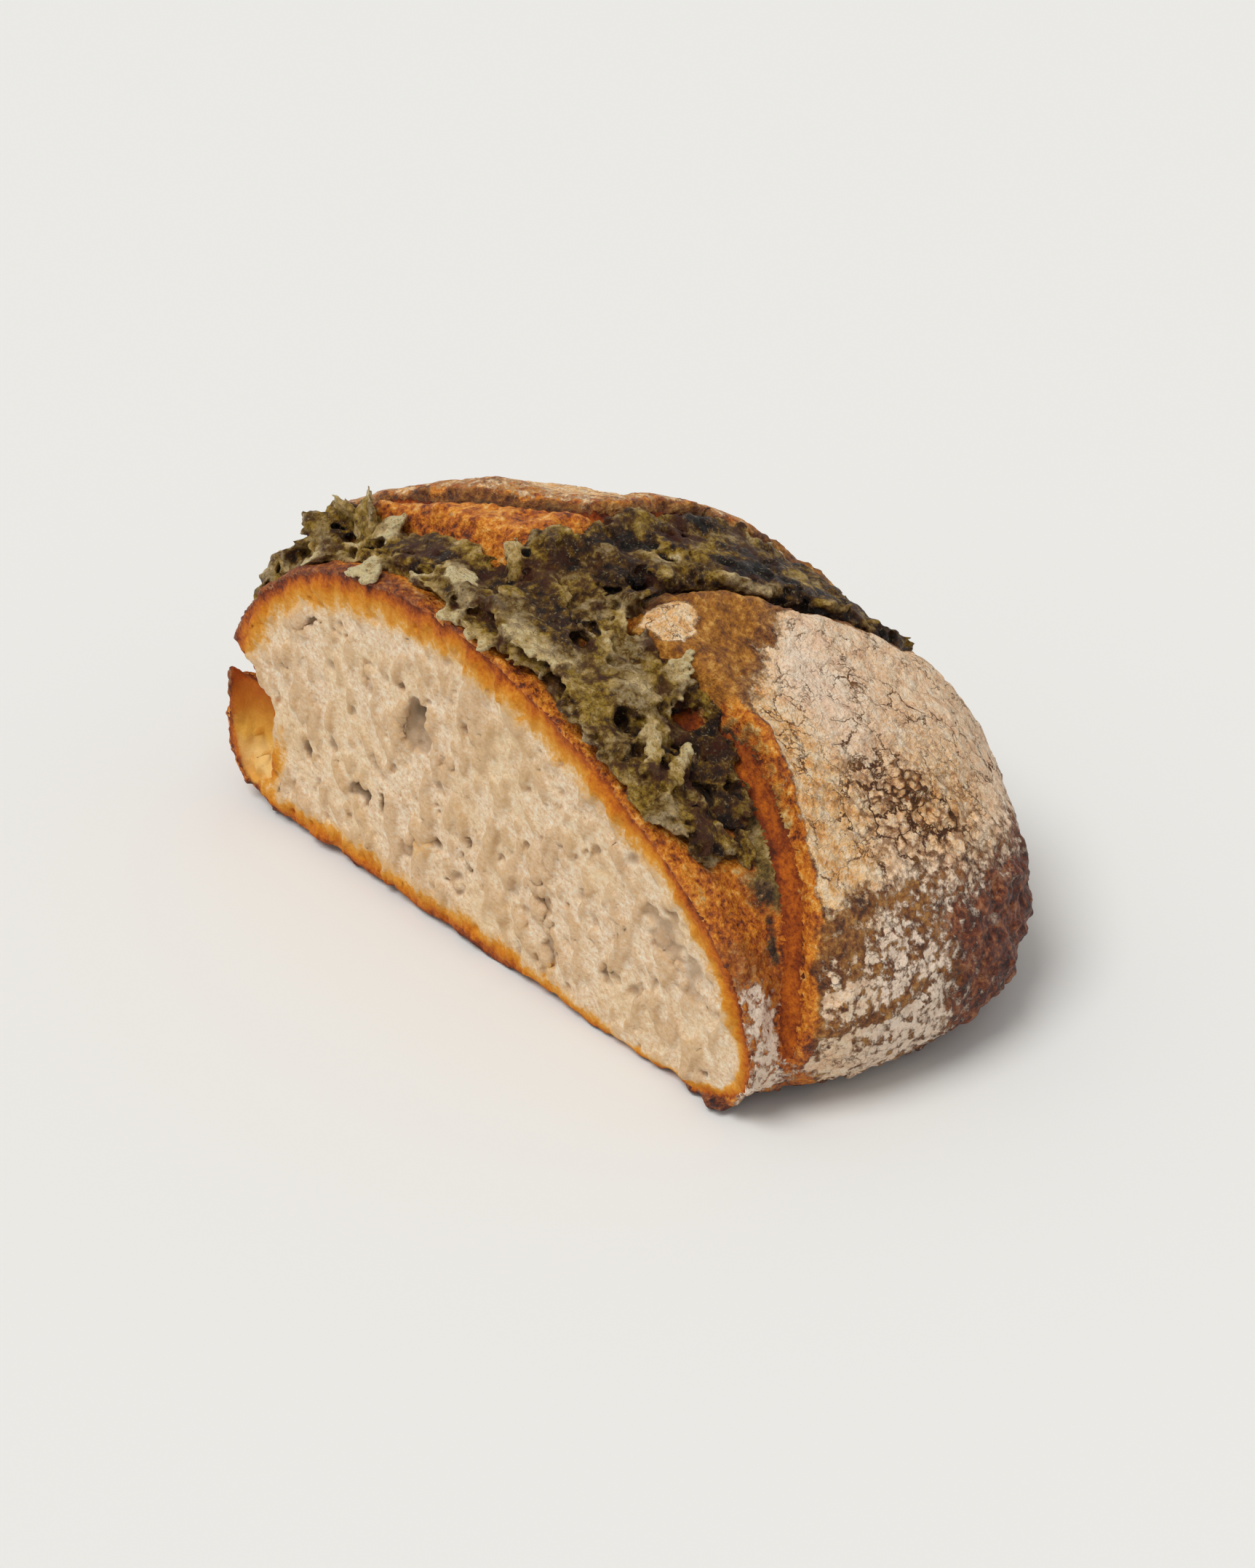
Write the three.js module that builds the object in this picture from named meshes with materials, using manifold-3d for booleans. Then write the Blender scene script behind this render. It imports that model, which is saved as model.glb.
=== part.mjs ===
// Half of a cross-scored sourdough loaf with a herb-cheese topping baked into its scores.
//
// The whole loaf is an oval dome on a flat base. A knife has cut it lengthwise, in front of its centre, and the
// larger part is kept. One score runs along the cut and a second one runs back from it, so two crust quarters
// stand proud of the valleys between them. The melted topping lies in those valleys.
//
// Units are millimetres and +Z is up. X runs along the cut and the cut face looks along -Y. The shapes are made
// with the knife's plane at y = 0. The finished group is then moved, so that its origin is on the resting surface
// below the middle of its bounding box.

import * as THREE from "three";
import { mergeVertices } from "three/addons/utils/BufferGeometryUtils.js";
import Module from "manifold-3d";

const wasm = await Module();
wasm.setup();

// ---------------------------------------------------------------- driving dimensions

const HALF_LENGTH = 110; // of the whole loaf, along the cut
const HALF_WIDTH = 83; // of the whole loaf, across the cut
const HEIGHT = 97; // of the dome, before the scores open it
const GIRTH_HEIGHT = 17; // of the widest section above the base
const BASE_SHARE = 0.76; // base outline as a share of the girth
const CENTRE_FROM_CUT = 40; // the loaf's centre lies this far behind the knife's plane

const SHOULDER = 2.34; // exponent of the dome's height: larger is squarer
const FULLNESS = 1.75; // exponent of the dome's width at the back
const FULLNESS_SIDEWAYS = 0.85; // added to it at the left end and taken from it at the right end
const OVAL_LEAN = 0.046; // twist of the oval plan, as a share of the radius
const OVAL_THREE = 0.021; // three-cornered part of the plan, as a share of the radius

const VALLEY_DEPTH = 7; // of a score below the dome
const VALLEY_RAMP = 7; // width of a valley's sloping side
const EAR_HEIGHT = 2.6; // of the lifted crust edge beside a score
const EAR_WIDTH = 9; // over which that lift dies away
const SCORE_FADE = [10, 34]; // heights between which a score runs out down the flank

// Centre lines of the scores seen from above: [x, y, half width].
const FRONT_SCORE = [
  [-112, 12, 9],
  [-60, 14, 9],
  [-25, 15, 11],
  [20, 18, 15],
  [45, 19, 16],
  [65, 18, 14],
  [86, 13, 9],
  [110, 6, 4],
];
const BACK_SCORE = [
  [4, 20, 15],
  [4, 46, 14],
  [7, 62, 16],
  [15, 80, 20],
  [25, 98, 18],
  [34, 116, 14],
];

// The topping's outline seen from above, which follows the valleys with a ragged edge.
const TOPPING_OUTLINE = [
  [-91, 4],
  [-60, 5],
  [-28, 6],
  [2, 4],
  [30, 3],
  [54, 4],
  [66, 9],
  [68, 18],
  [58, 28],
  [34, 31],
  [16, 36],
  [15, 50],
  [20, 64],
  [31, 82],
  [39, 98],
  [31, 106],
  [14, 96],
  [-1, 80],
  [-8, 62],
  [-7, 44],
  [-18, 29],
  [-44, 21],
  [-70, 22],
  [-89, 17],
];
const TOPPING_TOP = -1.2; // height of its upper side against the dome
const TOPPING_LUMP = 1.3; // height of its lumps
const SEAT_GAP = 0.3; // between the topping and the crust below it

// Bubbles that the knife opened: [x, z, half width, half height, depth].
const OPEN_BUBBLES = [
  [-22, 55, 5.5, 7, 5],
  [-46, 25, 4, 3.2, 5],
  [-37, 24, 2, 3.6, 5],
  [-25, 22, 3.6, 2.8, 5],
  [24, 27, 3.6, 3, 3],
  [26, 16, 3, 5.5, 4],
  [46, 19, 2.2, 4.5, 3],
  [66, 39, 7.5, 8, 3.5],
  [-68, 27, 2.4, 4, 2.5],
];
const CRUST_POCKET = { x: -89.5, z: 28, halfWidth: 7.5, halfHeight: 15, depth: 17 };
const CRUST_TEAR = { x: -99, z: 47, halfWidth: 13, halfHeight: 4, depth: 9 };

const ANGLES = 96; // columns round the dome
const FLANK_ROWS = 4; // rows from the base edge up to the girth
const DOME_ROWS = 22; // rows from the girth to the top
const OUTLINE_STEPS = 3; // between two points of the topping's outline
const BUBBLE_DETAIL = 2; // subdivisions of a bubble's icosahedron
const FAR = 400; // larger than the loaf, for cutting tools

// ---------------------------------------------------------------- shape of the dome

const smoothstep = THREE.MathUtils.smoothstep;
const CORE = new THREE.Vector3(0, CENTRE_FROM_CUT, GIRTH_HEIGHT); // relief pushes out from here

// Radius of the girth at an angle round the loaf's centre, as a share of the plain oval's.
function planShare(angle) {
  return 1 + OVAL_LEAN * Math.sin(2 * angle) - OVAL_THREE * Math.cos(3 * angle);
}

// The girth share and the height of each row, from the base edge up to the top, at one angle.
function profile(angle) {
  const fullness = FULLNESS - FULLNESS_SIDEWAYS * Math.cos(angle);
  const rows = [];
  for (let i = 0; i < FLANK_ROWS; i++) {
    const t = (i / FLANK_ROWS) * (Math.PI / 2);
    rows.push([BASE_SHARE + (1 - BASE_SHARE) * Math.sin(t), GIRTH_HEIGHT * (1 - Math.cos(t))]);
  }
  for (let i = 0; i < DOME_ROWS; i++) {
    const t = (i / DOME_ROWS) * (Math.PI / 2);
    const share = Math.cos(t) ** (2 / fullness);
    rows.push([share, GIRTH_HEIGHT + (HEIGHT - GIRTH_HEIGHT) * Math.sin(t) ** (2 / SHOULDER)]);
  }
  return rows;
}

// Distance from (x, y) to the edge of a score's band: negative inside the valley.
function bandDistance(x, y, line) {
  let nearest = Infinity;
  for (let i = 1; i < line.length; i++) {
    const [ax, ay, aw] = line[i - 1];
    const [bx, by, bw] = line[i];
    const length2 = (bx - ax) ** 2 + (by - ay) ** 2;
    const t = THREE.MathUtils.clamp(((x - ax) * (bx - ax) + (y - ay) * (by - ay)) / length2, 0, 1);
    const away = Math.hypot(x - ax - t * (bx - ax), y - ay - t * (by - ay));
    nearest = Math.min(nearest, away - THREE.MathUtils.lerp(aw, bw, t));
  }
  return nearest;
}

// How far the crust stands out from the plain dome: valleys are negative and ears positive.
function crustRelief(p) {
  const edge = Math.min(bandDistance(p.x, p.y, FRONT_SCORE), bandDistance(p.x, p.y, BACK_SCORE));
  const share = smoothstep(p.z, ...SCORE_FADE);
  const valley = VALLEY_DEPTH * smoothstep(-edge, -1, VALLEY_RAMP);
  const ear = EAR_HEIGHT * Math.exp(-(((edge - 2) / EAR_WIDTH) ** 2)) * smoothstep(edge, -1, 2);
  return share * (ear - valley);
}

// How far the topping's upper side stands out from the plain dome.
function toppingRelief(p) {
  const lumps = Math.sin(p.x / 4.1 + Math.sin(p.y / 5)) * Math.cos(p.y / 3.7 - Math.sin(p.x / 7));
  return TOPPING_TOP + TOPPING_LUMP * lumps;
}

// A closed dome on a flat base, whose skin a relief moves in or out.
function domeGeometry(relief) {
  const positions = [];
  const rowCount = FLANK_ROWS + DOME_ROWS;
  for (let a = 0; a < ANGLES; a++) {
    const angle = (a / ANGLES) * 2 * Math.PI;
    const plan = planShare(angle);
    for (const [share, z] of profile(angle)) {
      const x = share * plan * HALF_LENGTH * Math.cos(angle);
      const y = CENTRE_FROM_CUT + share * plan * HALF_WIDTH * Math.sin(angle);
      const p = new THREE.Vector3(x, y, z);
      const outward = p.clone().sub(CORE).normalize();
      if (z > 0) p.addScaledVector(outward, relief(p));
      positions.push(p.x, p.y, p.z);
    }
  }
  const top = new THREE.Vector3(0, CENTRE_FROM_CUT, HEIGHT);
  top.z += relief(top);
  positions.push(top.x, top.y, top.z, 0, CENTRE_FROM_CUT, 0);
  const topIndex = ANGLES * rowCount;
  const baseIndex = topIndex + 1;
  const faces = [];
  for (let a = 0; a < ANGLES; a++) {
    const here = a * rowCount;
    const next = ((a + 1) % ANGLES) * rowCount;
    for (let r = 0; r + 1 < rowCount; r++) {
      faces.push(here + r, next + r, next + r + 1, here + r, next + r + 1, here + r + 1);
    }
    faces.push(here + rowCount - 1, next + rowCount - 1, topIndex);
    faces.push(next, here, baseIndex);
  }
  const geometry = new THREE.BufferGeometry();
  geometry.setAttribute("position", new THREE.Float32BufferAttribute(positions, 3));
  geometry.setIndex(faces);
  return geometry;
}

// ---------------------------------------------------------------- solids and booleans

function toSolid(geometry) {
  const bare = geometry.clone();
  bare.deleteAttribute("normal");
  bare.deleteAttribute("uv");
  const merged = mergeVertices(bare, 1e-4);
  return new wasm.Manifold(
    new wasm.Mesh({
      numProp: 3,
      vertProperties: merged.attributes.position.array,
      triVerts: new Uint32Array(merged.index.array),
    }),
  );
}

function toGeometry(solid) {
  const { numProp, numVert, vertProperties, triVerts } = solid.getMesh();
  const positions = new Float32Array(numVert * 3);
  for (let i = 0; i < numVert; i++) {
    positions.set(vertProperties.subarray(i * numProp, i * numProp + 3), i * 3);
  }
  const geometry = new THREE.BufferGeometry();
  geometry.setAttribute("position", new THREE.BufferAttribute(positions, 3));
  geometry.setIndex(new THREE.BufferAttribute(triVerts, 1));
  geometry.computeVertexNormals();
  return geometry;
}

// Everything in front of a plane y = depth.
function inFrontOf(depth) {
  const box = new THREE.BoxGeometry(2 * FAR, FAR, 2 * FAR);
  box.translate(0, depth - FAR / 2, 0);
  return toSolid(box);
}

// An ellipsoid centred on the cut face.
function hollow(x, z, halfWidth, halfHeight, depth) {
  const ball = new THREE.IcosahedronGeometry(1, BUBBLE_DETAIL);
  ball.scale(halfWidth, depth, halfHeight);
  ball.translate(x, 0, z);
  return toSolid(ball);
}

// ---------------------------------------------------------------- the loaf

function makeLoaf() {
  let loaf = toSolid(domeGeometry(crustRelief)).subtract(inFrontOf(0));
  for (const bubble of OPEN_BUBBLES) {
    loaf = loaf.subtract(hollow(...bubble));
  }
  for (const gap of [CRUST_POCKET, CRUST_TEAR]) {
    loaf = loaf.subtract(hollow(gap.x, gap.z, gap.halfWidth, gap.halfHeight, gap.depth));
  }
  return loaf;
}

// ---------------------------------------------------------------- the topping

function makeTopping() {
  const outline = new THREE.Shape();
  const [first, ...rest] = TOPPING_OUTLINE.map(([x, y]) => new THREE.Vector2(x, y));
  outline.moveTo(first.x, first.y);
  outline.splineThru([...rest, first]);
  const column = new THREE.ExtrudeGeometry(outline, {
    depth: FAR,
    bevelEnabled: false,
    curveSegments: OUTLINE_STEPS,
  });
  const upper = toSolid(domeGeometry(toppingRelief));
  const seat = toSolid(domeGeometry((p) => crustRelief(p) + SEAT_GAP));
  const pieces = upper.intersect(toSolid(column)).subtract(seat).decompose();
  return pieces.reduce((a, b) => (a.volume() > b.volume() ? a : b)); // drops slivers at the edge
}

// ---------------------------------------------------------------- the assembled part

const BREAD = new THREE.MeshStandardMaterial({ color: 0xb98a55, roughness: 0.9, metalness: 0 });
const HERB_CHEESE = new THREE.MeshStandardMaterial({ color: 0x5f5a34, roughness: 0.55, metalness: 0 });

const loaf = new THREE.Mesh(toGeometry(makeLoaf()), BREAD);
loaf.name = "loaf";

const topping = new THREE.Mesh(toGeometry(makeTopping()), HERB_CHEESE);
topping.name = "herb_cheese_topping";

const part = new THREE.Group();
part.add(loaf, topping);

const box = new THREE.Box3().setFromObject(part);
part.position.set(-(box.min.x + box.max.x) / 2, -(box.min.y + box.max.y) / 2, -box.min.z);

export default part;
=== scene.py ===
"""The looks of a cut sourdough loaf with herb cheese baked into its scores.

The loaf is one baked thing, so it is one mesh: the oval dome of the frame, grown fine in a level set, sliced
by a knife, opened by its bubbles and roughened where the crust blistered. The herb cheese that melted into
the scores is a second mesh, with the flakes that dried on top of it.

Shapes are worked out in millimetres and made into metres when a mesh is written. Plan positions are measured
from the loaf's middle along the cut (x), from the knife's plane into the loaf (y) and up from the base (z).
"""

import math
from functools import partial

import bpy
import numpy as np
import openvdb
from mathutils import Matrix, Vector


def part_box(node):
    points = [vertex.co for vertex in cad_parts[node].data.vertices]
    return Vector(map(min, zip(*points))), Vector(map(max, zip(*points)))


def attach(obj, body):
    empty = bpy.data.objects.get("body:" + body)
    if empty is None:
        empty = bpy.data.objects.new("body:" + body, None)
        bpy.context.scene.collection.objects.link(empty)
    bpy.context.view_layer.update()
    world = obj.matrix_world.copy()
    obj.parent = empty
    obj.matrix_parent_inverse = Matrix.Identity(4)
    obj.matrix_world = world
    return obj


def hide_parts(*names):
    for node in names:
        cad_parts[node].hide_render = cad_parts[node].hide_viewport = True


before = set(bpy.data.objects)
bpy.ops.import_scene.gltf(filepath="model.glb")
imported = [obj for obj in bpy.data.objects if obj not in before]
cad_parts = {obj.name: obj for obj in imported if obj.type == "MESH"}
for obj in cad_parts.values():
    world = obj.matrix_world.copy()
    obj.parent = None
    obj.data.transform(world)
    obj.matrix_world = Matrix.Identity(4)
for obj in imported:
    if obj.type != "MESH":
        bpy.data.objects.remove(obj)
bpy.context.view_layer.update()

# ---------------------------------------------------------------- places and sizes, in millimetres

METRES = 0.001
PER_METRE = 1000  # how often a pattern of 1 mm repeats in a metre
KNIFE_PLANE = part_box("loaf")[0][1] / METRES
MIDDLE = np.array((2.6, KNIFE_PLANE, 0.0))  # plan origin: below the loaf's middle, in the knife's plane
FINE = 0.6  # step of the fine grids
COARSE = 1.2  # step of the coarse grid
REACH = 14.0  # how far from the crust the coarse distances stay true
CARRIED_FROM = (6.0, 13.0)  # the dome runs on past the knife as it runs between these depths behind it
CLEAR = 3.0  # distance at which a skin is out of reach
LOAF_FACES = 260_000  # triangles that the loaf keeps
CHEESE_FACES = 220_000  # triangles that the cheese keeps
CRUST_EDGE = 0.9  # depth at which the crust's skin ends on a cut
MELT = 2.2  # over which flakes of cheese melt together
CHEESE_TOP = 100.8  # no flake stands higher
CHEESE_SEAT = 0.15  # gap between the cheese and the crust below it

# Bands in plan: (x, y, half width) along the score that runs over the top, and along the two heaps of cheese.
BACK_SCORE = ((4, 20, 15), (4, 46, 14), (7, 62, 16), (15, 80, 20), (25, 98, 18), (34, 116, 14))
FRONT_HEAP = ((8, 12, 6), (34, 11, 9), (54, 8, 6))
BACK_HEAP = ((8, 46, 10), (15, 80, 16), (28, 104, 14))

# Lines on the crust in plan: (x, y). The ears are the lifted edges of the scores.
RIGHT_EAR = (
    (22, 30), (45, 34), (58, 35), (67, 33), (74, 30), (80, 27.5),
    (85, 25), (90, 21), (94, 17), (99, 11), (106, 5),
)
LEFT_EAR = ((-78, 26), (-62, 30), (-45, 33), (-33, 40), (-22, 45), (-14, 50), (-9, 58), (-10, 68), (-4, 84))
FLOUR_EDGE = ((16, 96), (22, 84), (30, 72), (38, 60), (42, 52), (48, 45), (51, 36), (52, 20))

# Places on the crust in plan: (x, y).
SHOULDER = (-44, 44)  # where the crown bulges
CRUMBLED = (84, 58)  # middle of the flour that crumbled
FLOUR_PATCH = (25, 38.5)  # a round of flour left between the scores
HOLLOW = (18, 28)  # bare hollow where the scores meet
BURNT_SPOTS = ((8, 41, 1.3, 7, 1.0), (80, 18, 1.0, 3.5, 0.8))  # (x, y, length over width, radius, strength)

# Bubbles that the knife opened: (x, z, half width, half height, depth, tilt in degrees).
OPEN_BUBBLES = (
    (-21.5, 58, 4.6, 4.2, 4.2, 0),
    (-22.5, 51.5, 5.2, 5.6, 2.6, 20),
    (-48, 25, 3.4, 2.3, 5.5, 25),
    (-44, 25.5, 1.7, 3.4, 8.5, -24),
    (-37.5, 24, 1.5, 3.8, 7.0, 8),
    (-39, 27.5, 0.9, 1.6, 5.0, 30),
    (-25, 22, 2.4, 1.8, 9.0, 12),
    (-28, 17, 4.4, 2.8, 1.9, 30),
    (-5.5, 22, 1.1, 2.6, 6.0, -25),
    (-6.2, 24.5, 0.8, 1.8, 5.0, 12),
    (-4.5, 29.5, 0.6, 1.4, 3.0, 12),
    (-17, 24, 2.4, 1.9, 1.8, 0),
    (-68, 27, 1.9, 3.2, 2.6, 12),
    (-57, 34, 1.5, 1.9, 2.6, 0),
    (-64, 66, 3.2, 1.1, 4.0, 30),
    (-69, 62, 2.6, 1.2, 3.0, 15),
    (24, 27, 3.6, 2.6, 1.6, 0),
    (25, 28, 1.2, 1.4, 5.0, 0),
    (26, 16, 2.9, 5.4, 2.2, 0),
    (17, 20, 1.8, 3.2, 1.2, 0),
    (13, 25, 2.2, 1.8, 1.3, 30),
    (8, 32, 1.5, 1.2, 1.6, 0),
    (46, 19, 2.4, 3.8, 1.8, -10),
    (66, 39, 7.2, 7.0, 1.7, 0),
    (75, 33, 6.0, 6.5, 1.1, 0),
    (52, 52, 4.0, 1.6, 1.0, 30),
    (-8, 19, 4.6, 1.3, 1.2, 38),
)
PORES = 900  # smaller bubbles on the cut
PORE_RADIUS = (0.35, 1.7)  # their sizes
PORE_COVER = 3.5  # no pore opens nearer to the crust

# The burst pocket between crumb and crust at the left end, and the tear in the crust above it.
POCKET = dict(middle=(-91.5, 0, 25.5), half=(10.0, 5.5, 19.0), tilt=-4)
TEAR = dict(middle=(-98.0, 0, 42.5), half=(10.2, 16.0, 5.0), tilt=-12)
TEAR_DIP = 0.85  # how steeply the tear runs down into the loaf
POCKET_WALL = 1.1  # thickness of the crust outside the pocket

# Eggs that fill the frame's openings again before finer ones are made:
# (x, y, z, half width, half depth, half height).
FILLINGS = (
    (-22, 0, 55, 20, 24, 21),
    (-36, 0, 24, 26, 24, 19),
    (24, 0, 22, 16, 24, 16),
    (46, 0, 19, 14, 24, 14),
    (66, 0, 39, 16, 24, 16),
    (-68, 0, 27, 11, 24, 13),
    (-84, 3, 36, 15.0, 24, 26),
)

# Cheese flakes listed one by one: (x, y, half length, half width, yaw in degrees, pitch in degrees, lift,
# tone).
# The tone runs from 0, burnt, through olive and grey to 1, cream.
HAND_FLAKES = (
    (7.5, 10.5, 14.0, 8.5, -24, -4, 1.6, 0.62),
    (13.5, 8.5, 9.0, 8.5, -60, 5, 2.2, 0.80),
    (-2, 3.5, 9.0, 4.2, -18, 8, 1.6, 0.70),
    (-18, 11.0, 6.5, 3.2, -20, -6, 1.6, 1.00),
    (-10.5, 7.0, 6.0, 2.6, -30, 5, 1.7, 0.96),
    (-21, 8.0, 4.0, 2.2, 20, 5, 1.4, 0.90),
    (-10, 1, 4.5, 2.4, -30, 25, 1.0, 0.90),
    (-44, 1.5, 3.4, 4.4, 10, 22, 1.4, 0.97),
    (-39, 1.5, 2.6, 3.4, 60, 24, 1.2, 0.94),
    (-65, 5, 5.0, 2.8, 10, 18, 1.7, 0.95),
    (-31.5, 16.5, 17.0, 6.0, 8, -4, 0.9, 0.42),
    (-47.5, 12.5, 5.5, 4.0, 40, 8, 2.0, 0.74),
    (-11.5, 22.5, 5.0, 2.6, -24, 0, 1.0, 0.66),
    (-1.5, 23.5, 7.0, 2.0, -30, 0, 1.4, 0.72),
    (-11, 30, 3.4, 2.0, -50, 4, 0.8, 0.72),
    (28.5, 10.5, 10.5, 8.0, -12, 2, 2.4, 0.46),
    (35.5, 15.5, 5.5, 4.5, 30, 6, 2.8, 0.52),
    (37.5, 6.5, 9.0, 5.5, -20, 8, 1.6, 0.50),
    (46, 5, 7.0, 4.0, -24, 10, 1.4, 0.44),
    (44.5, 12.5, 9.0, 2.2, -36, -4, 2.2, 0.68),
    (56.5, 5.5, 7.5, 6.0, -36, 4, 1.6, 0.50),
    (60.5, 6.5, 4.5, 3.0, 40, 0, 2.0, 0.42),
    (37.5, 29, 7.0, 1.5, -70, 0, 2.2, 0.74),
    (53.5, 13.5, 6.5, 1.4, -62, 0, 2.2, 0.74),
    (41.5, 23.5, 4.5, 3.6, 0, 0, 1.8, 0.36),
    (50.5, 20.5, 4.0, 3.0, 10, 0, 1.6, 0.40),
    (70.5, 19.5, 4.0, 1.8, -40, 0, 1.2, 0.42),
    (67.5, 8.5, 4.0, 2.2, 20, 0, 1.2, 0.66),
    (-88, 6, 5.0, 3.6, 60, 46, 1.4, 0.40),
    (-84, 12, 6.0, 4.0, 20, -38, 2.0, 0.46),
    (-80, 17, 5.5, 4.2, 70, 42, 2.4, 0.50),
    (-73, 20, 7.5, 6.0, 30, -52, 4.0, 0.42),
    (-68, 21, 6.0, 5.0, 100, 55, 4.5, 0.56),
    (-62, 21, 8.5, 6.5, 10, 36, 3.4, 0.60),
    (-53.5, 20.5, 6.0, 4.5, 150, -46, 4.6, 0.66),
    (-50.5, 17.5, 6.5, 3.6, -50, 24, 3.4, 0.90),
    (-70, 12, 7.0, 4.0, -30, 14, 2.0, 0.46),
    (-76, 8, 6.0, 4.5, 20, 20, 1.8, 0.44),
    (-92, 4, 3.0, 2.5, 80, 60, 0.4, 0.34),
)
FLAKES = 230  # more flakes, strewn
CHEESE_GAPS = (  # holes between flakes: (x, y, radius)
    (40, 10.5, 2.6), (42, 12, 2.0), (41, 27, 3.0), (43, 30, 2.6), (15, 21, 2.8), (18, 16.5, 2.0),
    (13, 40, 4.0), (-66, 15, 3.4), (-71, 17, 2.2), (-50, 11, 2.6), (-28, 8, 2.4), (-82, 8, 2.4),
    (50, 22, 3.2), (57, 18, 3.0), (60, 25, 2.8), (-9, 38, 2.6), (8, 52, 2.4), (10, 34, 2.6),
    (-38, 10, 1.8),
)
BARE_SPOTS = (  # crust that the cheese left bare: (x, y, radius)
    (-44, 15, 4.2), (15, 28, 5.0), (20, 31, 4.2), (-22, 7, 3.0), (-55, 9, 3.0), (66, 17, 3.6), (58, 27, 4.0),
)

rng = np.random.default_rng(7)


# ---------------------------------------------------------------- fields on grids

class Grid:
    """A box of evenly spaced samples."""

    def __init__(self, low, high, step):
        self.low = np.array(low, float)
        self.step = step
        self.shape = tuple(int(n) for n in np.ceil((np.array(high, float) - self.low) / step) + 1)

    def axes(self):
        """Coordinates along x, y and z, shaped to broadcast over the grid."""
        lines = np.ogrid[tuple(slice(n) for n in self.shape)]
        return [low + self.step * line for low, line in zip(self.low, lines)]

    def part(self, low, high):
        """The slices of the grid that hold a box."""
        first = np.floor((np.array(low, float) - self.low) / self.step).astype(int)
        last = np.ceil((np.array(high, float) - self.low) / self.step).astype(int) + 1
        return tuple(slice(max(0, a), max(0, min(n, b))) for a, b, n in zip(first, last, self.shape))


def between_corners(field, cell, share):
    """Reads a field inside its cells, as shares of each cell's eight corners."""
    total = 0
    for corner in np.ndindex(2, 2, 2):
        weight = np.prod(np.where(corner, share, 1 - share), axis=-1)
        total = total + weight * field[tuple((cell + corner).T)]
    return total


def sample(field, grid, points):
    """Reads a field on a grid at points."""
    place = (np.asarray(points) - grid.low) / grid.step
    place = np.clip(place, 0, np.array(field.shape) - 1.001)
    cell = place.astype(int)
    return between_corners(field, cell, place - cell)


def stretch(field, axis, positions):
    """Reads a field along one axis at other places on it."""
    positions = np.clip(positions, 0, field.shape[axis] - 1.001)
    cell = positions.astype(int)
    share = (positions - cell).astype(np.float32)
    share = share.reshape([-1 if i == axis else 1 for i in range(3)])
    return np.take(field, cell, axis) * (1 - share) + np.take(field, cell + 1, axis) * share


def regrid(field, old, new):
    """The same field on another grid."""
    for axis in range(3):
        positions = (new.low[axis] + new.step * np.arange(new.shape[axis]) - old.low[axis]) / old.step
        field = stretch(field, axis, positions)
    return field


def noise_on(grid, cell, seed):
    """Smooth noise between -1 and 1 on a grid, with lumps about as big as a cell."""
    size = [int(n * grid.step / cell) + 4 for n in grid.shape]
    field = np.random.default_rng(seed).uniform(-1, 1, size).astype(np.float32)
    for axis in range(3):
        positions = np.arange(grid.shape[axis]) * grid.step / cell
        whole = np.floor(positions)
        share = positions - whole
        field = stretch(field, axis, whole + share * share * (3 - 2 * share))
    return field


def noise_at(points, cell, seed):
    """Smooth noise between -1 and 1 at points, with lumps about as big as a cell."""
    askew = Matrix.Rotation(0.7, 3, Vector((1, 2, 0.5)).normalized())  # so that no row of cells shows
    place = np.asarray(points) @ np.array(askew) / cell
    place = place - place.min(0) + 0.5
    whole = np.floor(place).astype(int)
    share = place - whole
    share = share * share * (3 - 2 * share)
    field = np.random.default_rng(seed).uniform(-1, 1, whole.max(0) + 2)
    return between_corners(field, whole, share)


def layered(points, cell, seed, layers=3):
    """Noise with finer and fainter noise on top."""
    return sum(noise_at(points, cell / 2**i, seed + i) * 0.55**i for i in range(layers))


def crackle(points, size, seed, wander, width, closed):
    """Distance in millimetres from the nearest crack in a dried skin, less than nothing inside the crack.

    Plates are about as big as size. Their borders wander, and the closed share of them never opened.
    """
    shift = np.stack([layered(points, size * 0.75, seed + i) for i in range(3)], -1)
    place = (points + wander * shift) / size
    place = (place - place.min(0) + 2).astype(np.float32)
    whole = np.floor(place).astype(np.int32)
    table = np.random.default_rng(seed).random((*(whole.max(0) + 3), 4)).astype(np.float32)
    cells = [whole + np.array(step) - 1 for step in np.ndindex(3, 3, 3)]
    drawn = [table[tuple(cell.T)] for cell in cells]
    middles = np.stack([cell + draw[:, :3] for cell, draw in zip(cells, drawn)])
    marks = np.stack([draw[:, 3] for draw in drawn])
    away = ((place - middles) ** 2).sum(-1)
    own = away.argmin(0)
    every = np.arange(len(points))
    gap = np.full(len(points), 3.0 * size, np.float32)
    for middle, mark, far in zip(middles, marks, away):
        span = np.sqrt(((middle - middles[own, every]) ** 2).sum(-1))
        border = (mark + marks[own, every]) * 7.3 % 1  # a number from 0 to 1 that both plates agree on
        half = width * (0.3 + 0.7 * (border * 9.7 % 1))
        reach = (far - away[own, every]) / (2 * np.maximum(span, 1e-6)) * size - half
        gap = np.where((span > 1e-6) & (border > closed), np.minimum(gap, reach), gap)
    return gap


def soften(field, passes):
    """Blurs a field by passes of a small bell."""
    for _ in range(passes):
        for axis in range(3):
            field = np.moveaxis(field, axis, 0)
            inner = 0.25 * field[:-2] + 0.5 * field[1:-1] + 0.25 * field[2:]
            field = np.concatenate((field[:1], inner, field[-1:]))
            field = np.moveaxis(field, 0, axis)
    return field


def smoothstep(low, high, value):
    """Rises from 0 at low to 1 at high, without a corner."""
    share = np.clip((value - low) / (high - low), 0, 1)
    return share * share * (3 - 2 * share)


def bell(value, middle, width):
    """1 at the middle, falling to nothing about twice the width away."""
    return np.exp(-(((value - middle) / width) ** 2))


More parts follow.
